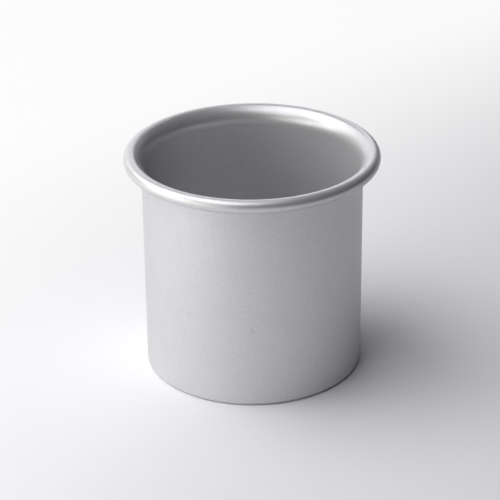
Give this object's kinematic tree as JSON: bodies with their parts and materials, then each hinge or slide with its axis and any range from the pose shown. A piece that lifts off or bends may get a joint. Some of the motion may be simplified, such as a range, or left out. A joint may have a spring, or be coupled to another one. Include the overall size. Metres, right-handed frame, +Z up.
{
  "type": "loose-bottom cake tin",
  "caption": "Deep round cake tin of anodised aluminium sheet with a curled rim and a loose base that rests on a ledge inside the foot.",
  "frame": {"origin": "middle of the foot, on the surface that the tin stands on", "axes": "+Z up along the tin's own axis, through the open mouth; X and Y lie across it in no special direction"},
  "size_m": [0.118, 0.118, 0.106],
  "materials": {
    "tin_aluminium": "satin anodised, silver grey",
    "base_aluminium": "satin anodised, silver grey"
  },
  "bodies": {
    "root": {"tin_body": "tin_aluminium", "loose_base": "base_aluminium"}
  },
  "joints": []
}
